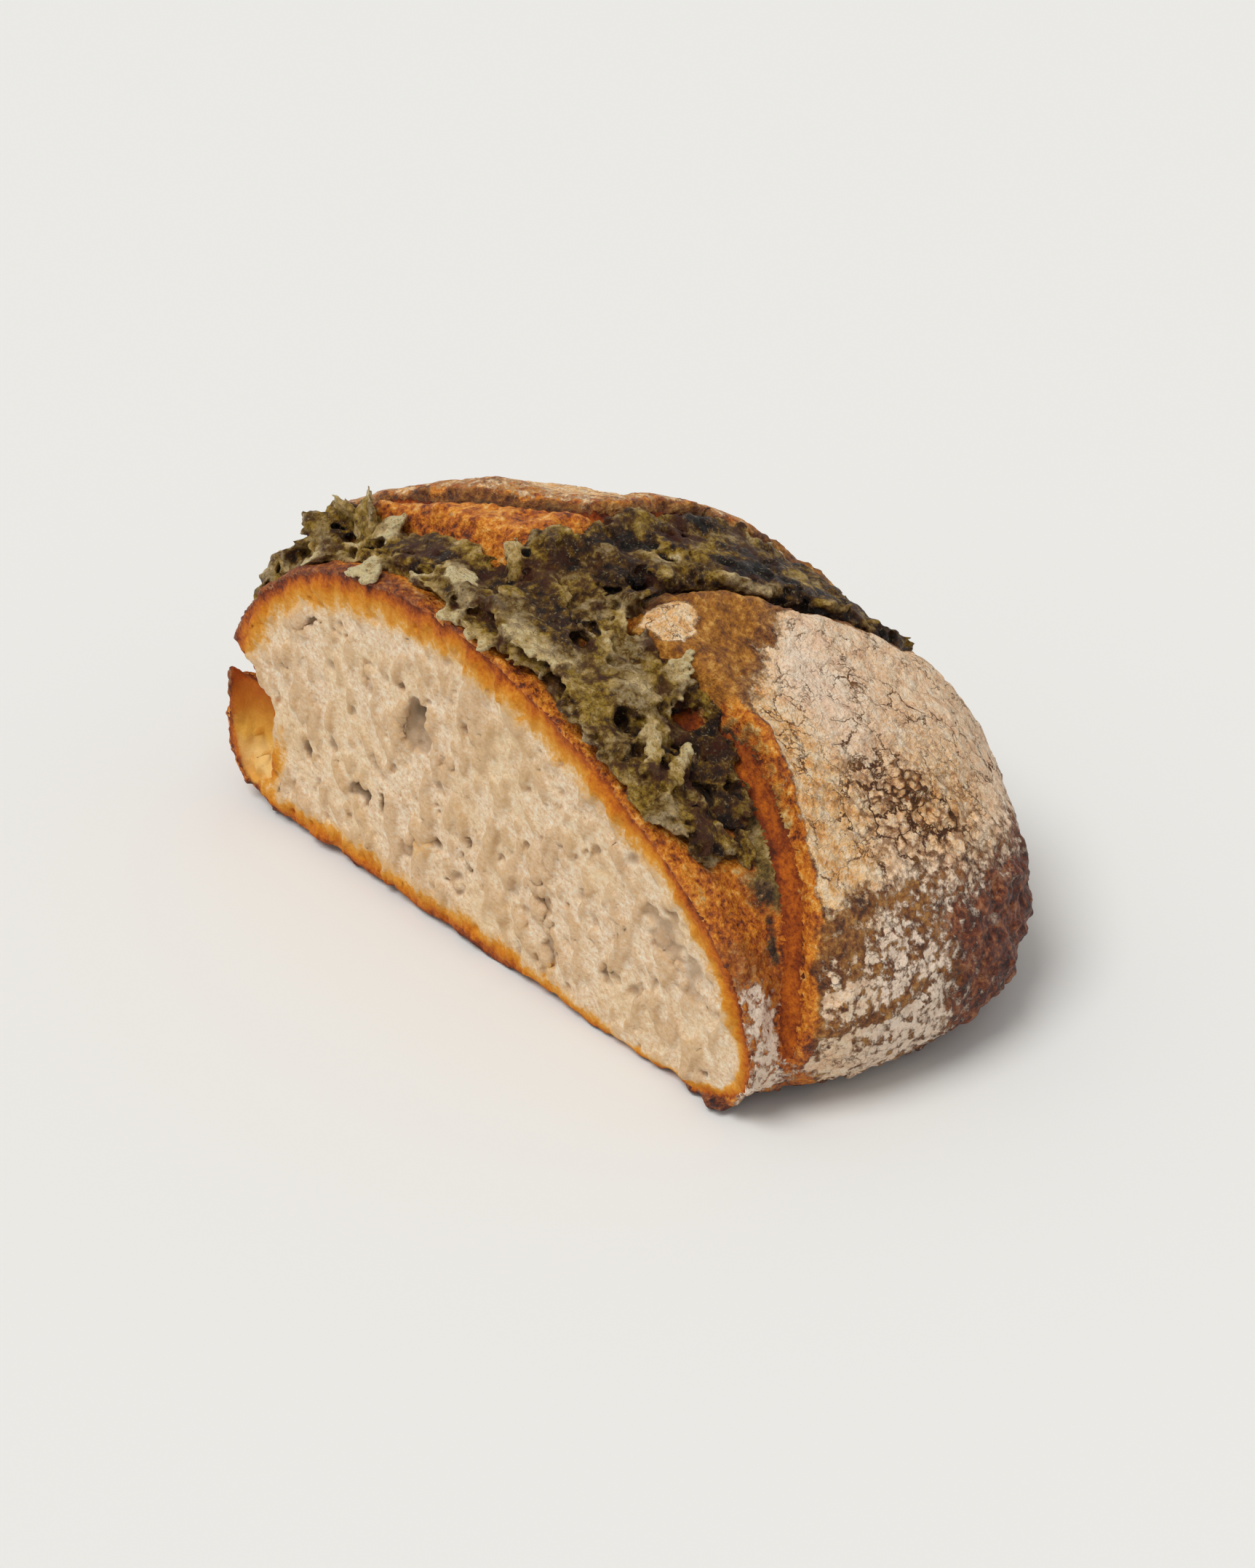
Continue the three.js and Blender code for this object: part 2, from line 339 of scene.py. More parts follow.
def stretches(x, y, line):
    """For each stretch of a line, how much of it lies before plan points, their distance and their side."""
    for (ax, ay, *_), (bx, by, *_) in zip(line, line[1:]):
        ux, uy = bx - ax, by - ay
        passed = np.clip(((x - ax) * ux + (y - ay) * uy) / (ux * ux + uy * uy), 0, 1)
        away = np.hypot(x - ax - passed * ux, y - ay - passed * uy)
        yield passed, away, np.sign(ux * (y - ay) - uy * (x - ax))


def beside(x, y, line):
    """Distance in plan from a line, positive to the left of its direction."""
    nearest = np.full(np.broadcast(x, y).shape, np.inf)
    signed = nearest.copy()
    for _, away, side in stretches(x, y, line):
        signed = np.where(away < nearest, away * side, signed)
        nearest = np.minimum(nearest, away)
    return signed


def band(x, y, line):
    """Distance from plan points to the edge of a band round a centre line: negative inside."""
    nearest = np.full(np.broadcast(x, y).shape, np.inf)
    widths = [width for _, _, width in line]
    for (passed, away, _), start, end in zip(stretches(x, y, line), widths, widths[1:]):
        nearest = np.minimum(nearest, away - (start + (end - start) * passed))
    return nearest


# ---------------------------------------------------------------- level sets and meshes

def triangles_of(mesh):
    """A mesh's points, in plan millimetres with doubles merged, and its triangles."""
    mesh.calc_loop_triangles()
    points = np.empty(len(mesh.vertices) * 3, np.float32)
    mesh.vertices.foreach_get("co", points)
    faces = np.empty(len(mesh.loop_triangles) * 3, np.int32)
    mesh.loop_triangles.foreach_get("vertices", faces)
    points = points.reshape(-1, 3) / METRES - MIDDLE
    points, index = np.unique(np.round(points, 3), axis=0, return_inverse=True)
    return points.astype(np.float32), index.reshape(-1)[faces].reshape(-1, 3).astype(np.uint32)


def distances(mesh, grid, reach):
    """Signed distances from a closed mesh on a grid, negative inside."""
    points, faces = triangles_of(mesh)
    points = ((points - grid.low) / grid.step).astype(np.float32)
    level = openvdb.FloatGrid.createLevelSetFromPolygons(points, triangles=faces, halfWidth=reach / grid.step)
    field = np.empty(grid.shape, np.float32)
    level.copyToArray(field)
    return field * grid.step


def skin(field, grid):
    """The surface on which a field is zero, as points and four-cornered faces."""
    level = openvdb.FloatGrid(CLEAR)
    level.copyFromArray(np.ascontiguousarray(np.clip(field, -CLEAR, CLEAR), np.float32))
    points, quads = level.convertToQuads(0.0)
    return points * grid.step + grid.low, quads[:, ::-1]


def add_object(name, data):
    """Puts a thing into the scene."""
    thing = bpy.data.objects.new(name, data)
    bpy.context.scene.collection.objects.link(thing)
    return thing


def add_mesh(name, points, faces):
    """A piece with one mesh, from plan points and faces with the same number of corners."""
    mesh = bpy.data.meshes.new(name)
    mesh.vertices.add(len(points))
    mesh.vertices.foreach_set("co", ((points + MIDDLE) * METRES).astype(np.float32).ravel())
    mesh.loops.add(faces.size)
    mesh.loops.foreach_set("vertex_index", faces.astype(np.int32).ravel())
    mesh.polygons.add(len(faces))
    mesh.polygons.foreach_set("loop_start", np.arange(0, faces.size, faces.shape[1], dtype=np.int32))
    mesh.update(calc_edges=True)
    mesh.validate()
    return add_object(name, mesh)


def points_of(piece):
    """A piece's points, in plan millimetres."""
    points = np.empty(len(piece.data.vertices) * 3, np.float32)
    piece.data.vertices.foreach_get("co", points)
    return points.reshape(-1, 3).astype(float) / METRES - MIDDLE


def normals_of(piece):
    """The direction in which a piece's skin faces at each of its points."""
    normals = np.empty(len(piece.data.vertices) * 3, np.float32)
    piece.data.vertex_normals.foreach_get("vector", normals)
    return normals.reshape(-1, 3).astype(float)


def move_points(piece, points):
    """Puts a piece's points at new places, in plan millimetres."""
    piece.data.vertices.foreach_set("co", ((points + MIDDLE) * METRES).astype(np.float32).ravel())
    piece.data.update()


def largest_part(points, faces):
    """Drops every scrap that isn't joined to the largest part of a mesh."""
    part = np.arange(len(points))
    edges = np.concatenate([faces[:, [i, (i + 1) % faces.shape[1]]] for i in range(faces.shape[1])])
    while True:
        low = np.minimum(part[edges[:, 0]], part[edges[:, 1]])
        joined = part.copy()
        np.minimum.at(joined, part[edges[:, 0]], low)
        np.minimum.at(joined, part[edges[:, 1]], low)
        joined = joined[joined]
        if (joined == part).all():
            break
        part = joined[part]
    kept = part == np.bincount(part).argmax()
    index = np.cumsum(kept) - 1
    return points[kept], index[faces[kept[faces[:, 0]]]]


def thin_out(piece, triangles):
    """Leaves about so many triangles, the most where the surface bends most."""
    now = sum(len(face.vertices) - 2 for face in piece.data.polygons)
    if now <= triangles:
        return
    thin = piece.modifiers.new("thin_out", "DECIMATE")
    thin.ratio = triangles / now
    apply_modifiers(piece)


def apply_modifiers(piece):
    """Makes what a piece's modifiers show its own mesh."""
    graph = bpy.context.evaluated_depsgraph_get()
    mesh = bpy.data.meshes.new_from_object(piece.evaluated_get(graph))
    piece.modifiers.clear()
    piece.data = mesh


def keep_mask(piece, name, values):
    """Keeps one number for each point, which a material reads by this name."""
    layer = piece.data.attributes.new(name, "FLOAT", "POINT")
    layer.data.foreach_set("value", np.asarray(values, np.float32))


def kept_mask(piece, name):
    """The numbers kept under a name, one for each point."""
    values = np.empty(len(piece.data.vertices), np.float32)
    piece.data.attributes[name].data.foreach_get("value", values)
    return values


# ---------------------------------------------------------------- the loaf

coarse = Grid((-120, -12, -12), (120, 136, 112), COARSE)
fine = Grid((-114, -4, -4), (114, 130, 104), FINE)
slab = Grid((-114, -4, -4), (100, 24, 104), FINE)  # the part of the fine grid behind the cut


def dome_distances():
    """The uncut crust: the frame's loaf, filled, carried on past the knife's plane and smoothed."""
    field = distances(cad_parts["loaf"].data, coarse, REACH)
    for x, y, z, *half in FILLINGS:
        stamp(field, coarse, (x, y, z), half)
    near_cut, further = (int(round((y - coarse.low[1]) / coarse.step)) for y in CARRIED_FROM)
    front = field[:, near_cut]
    inside = smoothstep(-4.0, -5.6, front)
    front = front + inside * np.minimum(field[:, further] - front, 0)
    field[:, :near_cut] = front[:, None]
    return soften(field, 2)


def egg(axes, middle, half, tilt=0.0):
    """Distance to an egg's skin, negative inside. The tilt turns it in the plane of the cut, in degrees."""
    x, y, z = (axis - centre for axis, centre in zip(axes, middle))
    cos, sin = math.cos(math.radians(tilt)), math.sin(math.radians(tilt))
    along, up = x * cos + z * sin, z * cos - x * sin
    return (np.sqrt((along / half[0]) ** 2 + (y / half[1]) ** 2 + (up / half[2]) ** 2) - 1) * min(half)


def near(grid, middle, reach):
    """The slices of a grid round a place, and the axes that belong to them."""
    where = grid.part(np.array(middle) - reach, np.array(middle) + reach)
    axes = []
    for i, axis in enumerate(grid.axes()):
        axes.append(axis[tuple(where[i] if i == j else slice(None) for j in range(3))])
    return where, axes


def stamp(field, grid, middle, half, tilt=0.0):
    """Joins an egg to a field."""
    widest = max(half[0], half[2])
    where, axes = near(grid, middle, np.array((widest, half[1], widest)) + 1.5)
    if all(part.stop > part.start for part in where):
        field[where] = np.minimum(field[where], egg(axes, middle, half, tilt))


def crumb_bubbles(dome):
    """The bubbles that the cut opened, as distances that are negative inside a bubble."""
    holes = np.full(slab.shape, CLEAR, np.float32)
    for x, z, half_width, half_height, depth, tilt in OPEN_BUBBLES:
        stamp(holes, slab, (x, 0, z), (half_width, depth, half_height), tilt)
    small, large = PORE_RADIUS
    places = np.stack((rng.uniform(-100, 95, PORES), np.full(PORES, 3.0), rng.uniform(2, 92, PORES)), -1)
    places = places[sample(dome, coarse, places) < -PORE_COVER]
    for x, _, z in places:
        open_crumb = z < 45 and x > -30
        radius = small * (large / small) ** (rng.random() ** (1.5 if open_crumb else 2.4))
        tall = rng.uniform(0.7, 2.2)
        middle = (x, rng.uniform(-0.9, -0.1) * radius, z)
        stamp(holes, slab, middle, (radius, radius, radius * tall), rng.uniform(-30, 50))
    return holes + 0.9 * noise_on(slab, 2.4, 11) + 0.4 * noise_on(slab, 1.2, 12)


def crust_pocket(dome):
    """The burst pocket under the crust at the left end, with the tear that opens it."""
    x, y, z = slab.axes()
    cavity = egg((x, y, z), **POCKET) + 0.9 * noise_on(slab, 6.0, 21)
    wall = regrid(dome, coarse, slab) + POCKET_WALL + 0.4 * noise_on(slab, 4.0, 22)
    tear = egg((x, y, z + TEAR_DIP * y), **TEAR) + 0.8 * noise_on(slab, 2.5, 23)
    return np.minimum(np.maximum(cavity, wall), tear)


def score_relief(x, y):
    """How far the crust sinks beside the scores, in plan. Less than nothing is a lifted edge."""
    right = beside(x, y, RIGHT_EAR)
    left = beside(x, y, LEFT_EAR)
    lip = -1.3 * bell(right, 0.8, 2.4) + 1.8 * bell(right, -3.6, 3.0)
    bulge = 2.4 * bell(np.hypot((x - SHOULDER[0]) / 1.4, y - SHOULDER[1]), 0, 11)
    return lip - bulge - 1.9 * bell(left, 6, 7) * (x < 10) + 3.0 * bell(left, -1.0, 2.0)


def make_loaf(dome):
    """The loaf as distances: the dome with its scores, sliced by the knife and opened by its bubbles."""
    body = regrid(dome, coarse, fine)
    x, y, z = fine.axes()
    body += (score_relief(x, y) * smoothstep(8, 24, z)).astype(np.float32)
    strokes = 0.22 * np.sin(x / 9 + z / 23) + 0.14 * np.sin(x / 3.1 - z / 11)
    body = np.maximum(body, strokes - y)
    foot = 1.3 + 1.4 * noise_on(fine, 7.0, 13)[:, :1, :1] + 0.8 * noise_on(fine, 3.0, 14)[:, :1, :1]
    body = np.maximum(body, foot - 0.5 * y - z)
    opened = np.minimum(crumb_bubbles(dome), crust_pocket(dome))
    part = tuple(slice(n) for n in slab.shape)
    body[part] = np.maximum(body[part], -opened)
    return body


class Skin:
    """Where each point of the loaf's skin lies against the plan's lines, with borders that wander."""

    def __init__(self, points, dome, cheese):
        self.points = points
        self.depth = -sample(dome, coarse, points)
        self.wander = np.stack([layered(points, 9, seed, 4) for seed in (41, 42, 43)], -1)
        self.place = (points + self.wander * 1.6).T
        x, y, z = self.place
        self.right = beside(x, y, RIGHT_EAR)
        self.left = beside(x, y, LEFT_EAR)
        self.corner = beside(x, y, FLOUR_EDGE)
        self.behind = smoothstep(-1, 3, band(x, y, BACK_SCORE))
        self.low = 1 - smoothstep(34, 54, z)
        self.base = 1 - smoothstep(2.5, 8, z)
        self.drift = z + 4.5 * noise_at(points, 13, 45)
        self.crust = 1 - smoothstep(0.4, 1.2, self.depth)
        self.covered = 1 - smoothstep(-1.0, 1.5, cheese(points))
        self.quarter = smoothstep(-0.3, 4.0, self.right) * smoothstep(-4, 7, self.corner) * self.behind
        self.crown = smoothstep(0.5, 3.5, self.left) * self.behind * (points[:, 0] < 20)
        self.broken = bell(np.hypot(x - CRUMBLED[0], (y - CRUMBLED[1]) * 0.8), 0, 17) * smoothstep(34, 44, z)
        self.patch = 1 - smoothstep(4.5, 7, np.hypot(x - FLOUR_PATCH[0], y - FLOUR_PATCH[1]))
        self.clump = bell(y, 4, 5.5) * smoothstep(83, 89, x) * (1 - smoothstep(34, 40, z))
        self.reddened = smoothstep(62, 98, x) * smoothstep(40, 60, y) * (1 - smoothstep(30, 54, self.drift))


def flour_masks(at):
    """Where the basket's flour stayed on, how white it is, and where it crumbled or stands in lumps."""
    x, y, z = at.place
    crown_dust = 0.37 + 0.50 * smoothstep(8, 36, at.left)
    crown_dust = crown_dust + 0.22 * noise_at(at.points, 20, 44) * smoothstep(4, 20, at.left)
    crown_dust = crown_dust * (1 - 0.3 * at.low)
    tan_band = 0.66 * bell(at.drift, 45, 6.5) * smoothstep(76, 90, x) * (1 - 0.7 * smoothstep(44, 62, y))
    tan_band = tan_band + 0.45 * bell(at.drift, 26, 3.0) * (1 - 0.6 * smoothstep(30, 50, y))
    streak = smoothstep(96, 99, x) * bell(z, 15, 4) * bell(y, 20, 16)
    quarter_dust = at.quarter * (1 - 0.46 * at.low - tan_band)
    flour = (quarter_dust, at.crown * crown_dust, at.patch, at.clump * 0.60, streak * 0.8)
    flour = np.maximum.reduce(flour) * (1 - 0.6 * at.base) * (1 - 0.85 * at.reddened)
    crumbled = at.broken * at.quarter + 0.2 * at.low * at.quarter
    lumpy = (at.low * np.maximum(at.quarter, at.crown) + at.clump + 0.3 * at.broken) * (1 - at.reddened)
    white = 0.9 * smoothstep(5, 26, at.right) * at.quarter * (1 - 0.5 * smoothstep(50, 80, y))
    white = white + 0.5 * at.low + at.clump - 0.7 * at.broken
    return dict(
        flour=flour, broken=np.clip(crumbled, 0, 1), lumpy=np.clip(lumpy, 0, 1), white=np.clip(white, 0, 1),
    )


def browning_masks(at):
    """Where the crust burst bare, baked golden, rusty or charred, where herb oil greened it, and the groove
    under the left ear's lip that is painted dark as shadow.
    """
    x, y, z = at.place
    ear = bell(at.right, -1.0, 2.6) * smoothstep(40, 50, x)
    torn = smoothstep(0, 3, -at.left) * (x < -2)
    valley = smoothstep(0, 3, -at.right) * smoothstep(60, 70, x)
    rim = (1 - smoothstep(3, 6, y)) * (z > 24)
    hollow = bell(np.hypot(x - HOLLOW[0], (y - HOLLOW[1]) * 1.2), 0, 9)
    bare = np.clip(np.maximum.reduce((ear, torn, valley, rim, hollow, 0.8 * at.crown)), 0, 1)
    gold = smoothstep(0, 6, -at.corner) * smoothstep(-2, 2, at.right) * at.behind
    gold = gold * (at.points[:, 0] > 0) * (1 - at.patch)

    rust = [0.55 * rim * (1 - smoothstep(-30, 0, x)), at.base * 0.9, at.reddened]
    rust.append(0.4 * valley * smoothstep(0.05, 0.5, noise_at(at.points, 9, 46)))
    score_floor = smoothstep(0.5, 4, -at.right) * smoothstep(36, 44, x)
    score_floor = score_floor * (1 - smoothstep(60, 72, x)) * smoothstep(9, 15, y)
    # Charred spots and score floor, and a dark line along the groove under the left ear's lip that is painted
    # shadow.
    char_and_lip_shadow = [bell(at.left, -1.0, 2.0) * (x < 4) * 0.55, score_floor * 0.85]
    for spot_x, spot_y, longer, radius, strength in BURNT_SPOTS:
        char_and_lip_shadow.append(strength * bell(np.hypot((x - spot_x) / longer, y - spot_y), 0, radius))
    char_and_lip_shadow.append(0.9 * bell(np.hypot((x - 85.5) / 2.6, y - 15 + (x - 85) * 0.4), 0, 1.2))
    char_and_lip_shadow.append(0.15 * valley * smoothstep(0.3, 0.7, noise_at(at.points, 6, 47)))
    moss = bell(at.right, -6.5, 4.5) * smoothstep(38, 46, x) * smoothstep(42, 52, z)
    rust = np.clip(np.maximum.reduce(rust), 0, 1)
    return dict(bare=bare, gold=gold, rust=rust, char_and_lip_shadow=np.clip(np.maximum.reduce(char_and_lip_shadow), 0, 1), moss=moss)


def cut_masks(at):
    """How toasted the crumb is below the crust, how far it sank from the cut, which paints shade deep in its
    bubbles, and the pocket's own wall.
    """
    x, y, z = at.points.T
    slant = smoothstep(-30, 60, x)
    base_line = 8.2 - 5.0 * slant + 1.3 * at.wander[:, 0]
    top_line = 6.3 - 0.9 * slant + 0.9 * at.wander[:, 1] + 1.2 * bell(x, -15, 40)
    thickness = base_line + (top_line - base_line) * smoothstep(8, 30, z)
    in_pocket = 1 - smoothstep(0.8, 2.0, egg((x, y, z), **POCKET))
    in_pocket = in_pocket * smoothstep(0.25, 0.7, y) * smoothstep(0.3, 0.6, at.depth)
    return dict(depth=at.depth, toast=at.depth / thickness, bubble_shade_depth=y, pocket=in_pocket)


def roughen(loaf, at, flour, rust):
    """Moves the skin by its flour's puffs and cracks, its crust's blisters and its crumb's dents."""
    points = at.points
    x, z = points[:, 0], points[:, 2]
    split = crackle(points, 8.0, 51, 3.6, 0.25, 0.35) - 0.1 * at.broken + 0.6 * (1 - at.broken)
    floury = smoothstep(0.15, 0.5, flour) * (1 - at.covered)
    swell = 0.7 * noise_at(points, 16, 31) + 0.35 * noise_at(points, 6, 32)
    puffs = 0.4 * smoothstep(0.2, 3.0, split) - 0.7 * (1 - smoothstep(-0.2, 0.6, split))
    crumbs = 0.55 * np.abs(noise_at(points, 3.4, 39)) + 0.35 * np.abs(noise_at(points, 1.9, 40)) - 0.25
    crumbs = crumbs * (0.5 + 1.1 * np.maximum(0.6 * at.low, at.broken))
    blisters = 0.45 * layered(points, 4.5, 35) + 0.35 * layered(points, 2.0, 34, 2)
    blisters = blisters - 0.5 * smoothstep(0.25, 0.7, noise_at(points, 3.0, 37))
    wrinkle = (1 - smoothstep(2, 12, z)) * (1.5 * layered(points, 5.0, 33) - 0.4)
    gnarl = rust * (x > 60) * (1.3 * layered(points, 5, 38))
    fine_lift = floury * (puffs + crumbs) + (1 - floury) * blisters
    lift = swell + fine_lift + wrinkle + gnarl

    dents = 1.1 * smoothstep(0.15, 0.6, noise_at(points * (1, 1, 0.55), 4.0, 61))
    dents = dents + 0.7 * smoothstep(0.1, 0.5, noise_at(points * (1, 1, 0.55), 2.2, 62))
    fibre = 0.12 * layered(points * (0.6, 1, 1.0), 1.4, 63, 2)
    under = 1 - smoothstep(0.5, 2.0, z)
    on_crust = at.crust * lift * (1 - 0.9 * at.covered) * (1 - under)
    move = on_crust + (1 - at.crust) * (fibre - dents * smoothstep(1.5, 4, at.depth))
    moved = points + normals_of(loaf) * move[:, None]
    moved[:, 2] = np.maximum(moved[:, 2], 0)
    move_points(loaf, moved)
    return dict(dent_shade=dents, split=np.clip(split, -2, 6), height=at.crust * fine_lift)


def finish_loaf(loaf, dome, cheese):
    """Works out from the plan where each finish lies, keeps that as masks, and roughens the skin to match."""
    at = Skin(points_of(loaf), dome, cheese)
    kept = {**cut_masks(at), **flour_masks(at), **browning_masks(at)}
    kept.update(roughen(loaf, at, kept["flour"], kept["rust"]))
    for name, values in kept.items():
        keep_mask(loaf, name, values)


def part_crust_from_crumb(loaf):
    """Gives each face the crust's or the crumb's material by its depth below the crust."""
    starts = np.empty(len(loaf.data.polygons), np.int32)
    loaf.data.polygons.foreach_get("loop_start", starts)
    corners = np.empty(len(loaf.data.loops), np.int32)
    loaf.data.loops.foreach_get("vertex_index", corners)
    inner = (kept_mask(loaf, "depth") > CRUST_EDGE) | (kept_mask(loaf, "pocket") > 0.5)
    loaf.data.polygons.foreach_set("material_index", inner[corners[starts]].astype(np.int32))


# ---------------------------------------------------------------- the herb cheese

def crown_height(field, grid, x, y):
    """Height of a field's skin at plan positions, coming down from above."""
    low = np.full(np.shape(x), 8.0)
    high = np.full(np.shape(x), 108.0)
    for _ in range(24):
        middle = (low + high) / 2
        outside = sample(field, grid, np.stack((x, y, middle), -1)) > 0
        high = np.where(outside, middle, high)
        low = np.where(outside, low, middle)
    return high


def foot_of(field, grid, x, y):
    """The place below a plan position where a field's skin lies."""
    return np.array((x, y, float(crown_height(field, grid, np.array(x), np.array(y)))))


def outward(field, grid, point):
    """The direction in which a field grows fastest at a place."""
    steps = np.eye(3) * 1.5
    slope = [sample(field, grid, point + step) - sample(field, grid, point - step) for step in steps]
    return np.array(slope) / np.linalg.norm(slope)


def lay_flake(field, tones, grid, rags, place, half, turn, tone):
    """Joins a thin ragged flake to a field and keeps its tone.

    The turn's columns are the flake's length, width and face.
    """
    where, axes = near(grid, place, max(half) + 2.0)
    if not all(part.stop > part.start for part in where):
        return
    x, y, z = (axis - centre for axis, centre in zip(axes, place))
    along, across, out = (x * turn[0, i] + y * turn[1, i] + z * turn[2, i] for i in range(3))
    out = out + 0.010 * (along**2 + across**2) - 0.012 * along * across
    rag = rags[where]
    edge = (np.sqrt((along / half[0]) ** 2 + (across / half[1]) ** 2) - 1) * min(half[:2]) + 2.5 * rag
    flake = np.maximum(edge, np.abs(out + 0.5 * rag) - half[2])
    here = field[where]
    share = smoothstep(-0.5 * MELT, 0.5 * MELT, here - flake) * (flake < 1.2)
    tones[where] = tones[where] + share * (tone + 0.05 * rag - tones[where])
    field[where] = np.minimum(here, flake) - 0.25 * MELT * np.maximum(0, 1 - np.abs(here - flake) / MELT) ** 2


def flake_turn(face, yaw, pitch):
    """A flake's length, width and face as columns, from its plan angle and its tilt in degrees."""
    along = np.cross(face, (-math.sin(math.radians(yaw)), math.cos(math.radians(yaw)), 0.0))
    along = -along / np.linalg.norm(along)
    across = np.cross(face, along)
    cos, sin = math.cos(math.radians(pitch)), math.sin(math.radians(pitch))
    return np.stack((along * cos + face * sin, across, face * cos - along * sin), -1)


def cheese_thickness(x, y):
    """How thick the melted mass lies on the crust, in plan."""
    thick = 3.4 + 0 * (x + y)
    thick = thick + 2.4 * (1 - smoothstep(-3, 4, band(x, y, FRONT_HEAP)))
    thick = thick + 2.0 * (1 - smoothstep(-4, 4, band(x, y, BACK_HEAP)))
    right = beside(x, y, RIGHT_EAR)
    deep_valley = smoothstep(34, 42, x) * smoothstep(14, 20, y) * (1 - smoothstep(-2, 0, right))
    thick = thick - 3.0 * deep_valley
    bare_slope = smoothstep(-64, -56, x) * (1 - smoothstep(-20, -12, x))
    bare_slope = bare_slope * smoothstep(18, 23, y) * (1 - smoothstep(36, 40, y))
    thick = thick - 7.0 * bare_slope
    for spot_x, spot_y, radius in BARE_SPOTS:
        thick = thick - 5.0 * (1 - smoothstep(0.5 * radius, radius, np.hypot(x - spot_x, y - spot_y)))
    return thick


def strewn_flakes(outer, ground, grid):
    """Smaller flakes strewn over the cheese, as those listed one by one are, each with its half thickness."""
    plan = np.stack((rng.uniform(-94, 70, FLAKES * 6), rng.uniform(1, 108, FLAKES * 6)), -1)
    height = crown_height(ground, grid, plan[:, 0], plan[:, 1])
    inside = sample(outer, grid, np.column_stack((plan, height - 1.0))) < 0.5
    x, y = plan.T
    bare_slope = (x > -60) & (x < -14) & (y > 17) & (y < 38)
    flakes = []
    for x, y in plan[inside & ~bare_slope][:FLAKES]:
        at_left_end = x < -55
        calm = 0.5 if y > 34 else 1.0
        length = rng.uniform(2.2, 6.5)
        tone = 0.40 + 0.08 * rng.standard_normal() + (0.3 if rng.random() < 0.14 else 0.0)
        tone = tone - 0.16 * (x > 38 and y > 16) + 0.12 * (x < -8) * (rng.random() < 0.4)
        pitch = rng.normal(0, 18 if at_left_end else 11) * calm
        width = length * rng.uniform(0.45, 0.9)
        yaw = rng.uniform(0, 180)
        lift = rng.uniform(-0.3, 1.5 if at_left_end else 0.9) * calm
        flakes.append((x, y, length, width, yaw, pitch, lift, tone, rng.uniform(0.45, 0.75)))
    return flakes


def make_cheese(dome, body):
    """The melted mass in the scores, the flakes on it and the tone of each, on a grid of its own."""
    grid = Grid((-100, -4, 34), (74, 112, 103), FINE)
    outer = distances(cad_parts["herb_cheese_topping"].data, grid, 6.0)
    crust = regrid(dome, coarse, grid)
    x, y, z = grid.axes()
    rags = 0.5 * noise_on(grid, 3.0, 71) + 0.5 * noise_on(grid, 1.5, 72)
    lumps = 1.5 * noise_on(grid, 9, 73) + 0.9 * noise_on(grid, 4, 74) + 0.6 * rags
    thick = cheese_thickness(x, y).astype(np.float32)
    field = np.maximum(outer - 1.0 + 1.6 * rags, crust - thick - lumps).astype(np.float32)
    tones = 0.35 + 0.26 * noise_on(grid, 13, 75) + 0.16 * noise_on(grid, 5, 76)
    tones = tones - 0.20 * smoothstep(30, 44, x) * smoothstep(14, 20, y) - 0.14 * smoothstep(32, 40, y)
    tones = tones - 0.12 * bell(y, 16, 7) * smoothstep(-58, -50, x) * (1 - smoothstep(-30, -20, x))
    tones = tones.astype(np.float32)

    ground = np.minimum(field, crust)
    by_hand = [(*flake, 0.75 if flake[0] > -50 else 0.6) for flake in HAND_FLAKES]
    flakes = strewn_flakes(outer, ground, grid)[::-1] + by_hand
    for fx, fy, length, width, yaw, pitch, lift, tone, thin in flakes:
        foot = foot_of(ground, grid, fx, fy)
        face = outward(crust, grid, foot)
        turn = flake_turn(face, yaw, pitch)
        lay_flake(field, tones, grid, rags, foot + face * lift, (length, width, thin), turn, tone)

    for gx, gy, radius in CHEESE_GAPS:
        foot = tuple(foot_of(ground, grid, gx, gy))
        where, axes = near(grid, foot, radius + 3)
        gap = egg(axes, foot, (radius * 1.3, radius, radius * 1.6)) + 2.2 * rags[where]
        # The cheese round each gap takes a dark tone: painted shade in the gap.
        tones[where] = np.where((gap < 0.9) & (tones[where] < 0.6), 0.26, tones[where])
        field[where] = np.maximum(field[where], -gap)

    field = np.maximum(field, CHEESE_SEAT - regrid(body, fine, grid))
    field = np.maximum(field, np.maximum(grid.low[2] + 2.0 - z, z - CHEESE_TOP).astype(np.float32))
    return grid, field, tones


def tone_cheese(cheese, grid, field, tones):
    """Keeps each flake's tone and how far it stands out, which paints light on what stands out and shade in
    its hollows, and roughens it.
    """
    points = points_of(cheese)
    roots = points - 0.4 * normals_of(cheese)
    keep_mask(cheese, "tone", sample(tones, grid, roots))
    relief_shade = sample(soften(field, 9), grid, points)
    shreds = 0.5 - 1.5 * np.abs(noise_at(points * (0.6, 1.2, 1), 3.2, 84))
    rough = 0.35 * layered(points, 2.0, 81, 2) + 0.45 * noise_at(points, 4.5, 82) + 0.45 * shreds
    keep_mask(cheese, "relief_shade", relief_shade + 0.5 * rough)
    move_points(cheese, points + normals_of(cheese) * rough[:, None])


# ---------------------------------------------------------------- materials

def linear(hex_colour):
    """An sRGB colour such as "#c8a070" as linear red, green, blue and alpha."""
    shares = [int(hex_colour[i : i + 2], 16) / 255 for i in (1, 3, 5)]
    return [s / 12.92 if s <= 0.04045 else ((s + 0.055) / 1.055) ** 2.4 for s in shares] + [1.0]


